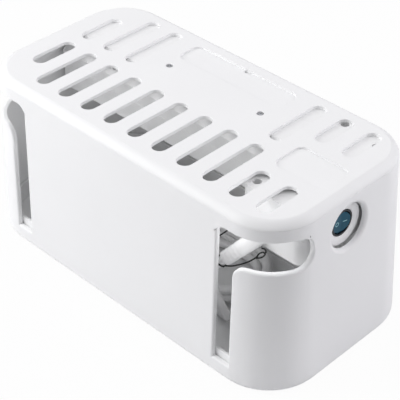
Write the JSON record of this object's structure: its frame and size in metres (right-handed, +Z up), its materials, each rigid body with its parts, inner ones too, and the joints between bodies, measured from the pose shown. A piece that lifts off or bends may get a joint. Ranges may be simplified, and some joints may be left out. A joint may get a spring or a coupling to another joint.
{
  "type": "cable management box",
  "caption": "Box with a slotted lift-off lid and a multi-way power strip hung under it, cable windows at both front corners and a round rocker switch in one end.",
  "frame": {"origin": "on the table, under the middle of the box", "axes": "+X along the box towards the switch end, +Y towards the back, +Z up"},
  "size_m": [0.3214, 0.1644, 0.1493],
  "materials": {
    "white_plastic": "fine satin moulded white",
    "strip_white": "satin moulded white",
    "well_white": "smooth moulded white",
    "shutter_grey": "satin grey",
    "foot_rubber": "matt dark grey",
    "screw_steel": "zinc plated",
    "spring_steel": "bright wire",
    "contact_brass": "plain",
    "bezel_black": "glossy black",
    "housing_black": "matt black",
    "rocker_blue": "translucent teal blue",
    "wire_brown": "PVC",
    "wire_black": "PVC",
    "wire_blue": "PVC",
    "wire_green_yellow": "PVC",
    "cord_white": "soft satin PVC",
    "tie_black": "satin",
    "pin_nickel": "nickel plated"
  },
  "bodies": {
    "box": {"box_shell": "white_plastic", "base_tray": "white_plastic", "feet": "foot_rubber"},
    "lid_and_strip": {"lid": "white_plastic", "lid_screws": "screw_steel", "strip_top_shell": "strip_white", "strip_bottom_shell": "strip_white", "strip_screws": "screw_steel", "socket_well_1": "well_white", "socket_well_2": "well_white", "socket_well_3": "well_white", "socket_well_4": "well_white", "socket_well_5": "well_white", "shutter_spring_1": "spring_steel", "shutter_spring_2": "spring_steel", "shutter_spring_3": "spring_steel", "shutter_spring_4": "spring_steel", "shutter_spring_5": "spring_steel", "live_busbar": "contact_brass", "neutral_busbar": "contact_brass", "earth_busbar": "contact_brass", "switch_collar": "white_plastic", "switch_bezel": "bezel_black", "switch_housing": "housing_black", "switch_terminals": "contact_brass", "live_wire_in": "wire_brown", "live_wire_out": "wire_black", "neutral_wire": "wire_blue", "lamp_wire": "wire_blue", "earth_wire": "wire_green_yellow", "cord_sheath": "cord_white", "cord_clamp": "strip_white", "clamp_screws": "screw_steel", "cord_boot": "cord_white", "cord_drop": "cord_white", "cord_hank": "cord_white", "cord_tail": "cord_white", "twist_tie": "tie_black", "plug_body": "cord_white", "plug_pins": "pin_nickel", "plug_boot": "cord_white"},
    "switch_rocker": {"rocker": "rocker_blue", "rocker_plunger": "spring_steel"},
    "shutter_1": {"shutter_1": "shutter_grey"},
    "shutter_2": {"shutter_2": "shutter_grey"},
    "shutter_3": {"shutter_3": "shutter_grey"},
    "shutter_4": {"shutter_4": "shutter_grey"},
    "shutter_5": {"shutter_5": "shutter_grey"}
  },
  "joints": [
    {"name": "lid_lift", "type": "slide", "parent": "box", "child": "lid_and_strip", "axis": [0, 0, 1], "range_m": [0, 0.16]},
    {"name": "rocker_tilt", "type": "hinge", "parent": "lid_and_strip", "child": "switch_rocker", "pos_m": [0.1454, -0.0017, 0.1185], "axis": [0, 0, 1], "range_deg": [0, 14]},
    {"name": "shutter_1_slide", "type": "slide", "parent": "lid_and_strip", "child": "shutter_1", "axis": [1, 0, 0], "range_m": [0, 0.0076], "stiffness_N_per_m": 100, "springref_m": -0.003, "deforming": ["shutter_spring_1"]},
    {"name": "shutter_2_slide", "type": "slide", "parent": "lid_and_strip", "child": "shutter_2", "axis": [1, 0, 0], "range_m": [0, 0.0076], "stiffness_N_per_m": 100, "springref_m": -0.003, "deforming": ["shutter_spring_2"]},
    {"name": "shutter_3_slide", "type": "slide", "parent": "lid_and_strip", "child": "shutter_3", "axis": [1, 0, 0], "range_m": [0, 0.0076], "stiffness_N_per_m": 100, "springref_m": -0.003, "deforming": ["shutter_spring_3"]},
    {"name": "shutter_4_slide", "type": "slide", "parent": "lid_and_strip", "child": "shutter_4", "axis": [1, 0, 0], "range_m": [0, 0.0076], "stiffness_N_per_m": 100, "springref_m": -0.003, "deforming": ["shutter_spring_4"]},
    {"name": "shutter_5_slide", "type": "slide", "parent": "lid_and_strip", "child": "shutter_5", "axis": [1, 0, 0], "range_m": [0, 0.0076], "stiffness_N_per_m": 100, "springref_m": -0.003, "deforming": ["shutter_spring_5"]}
  ]
}
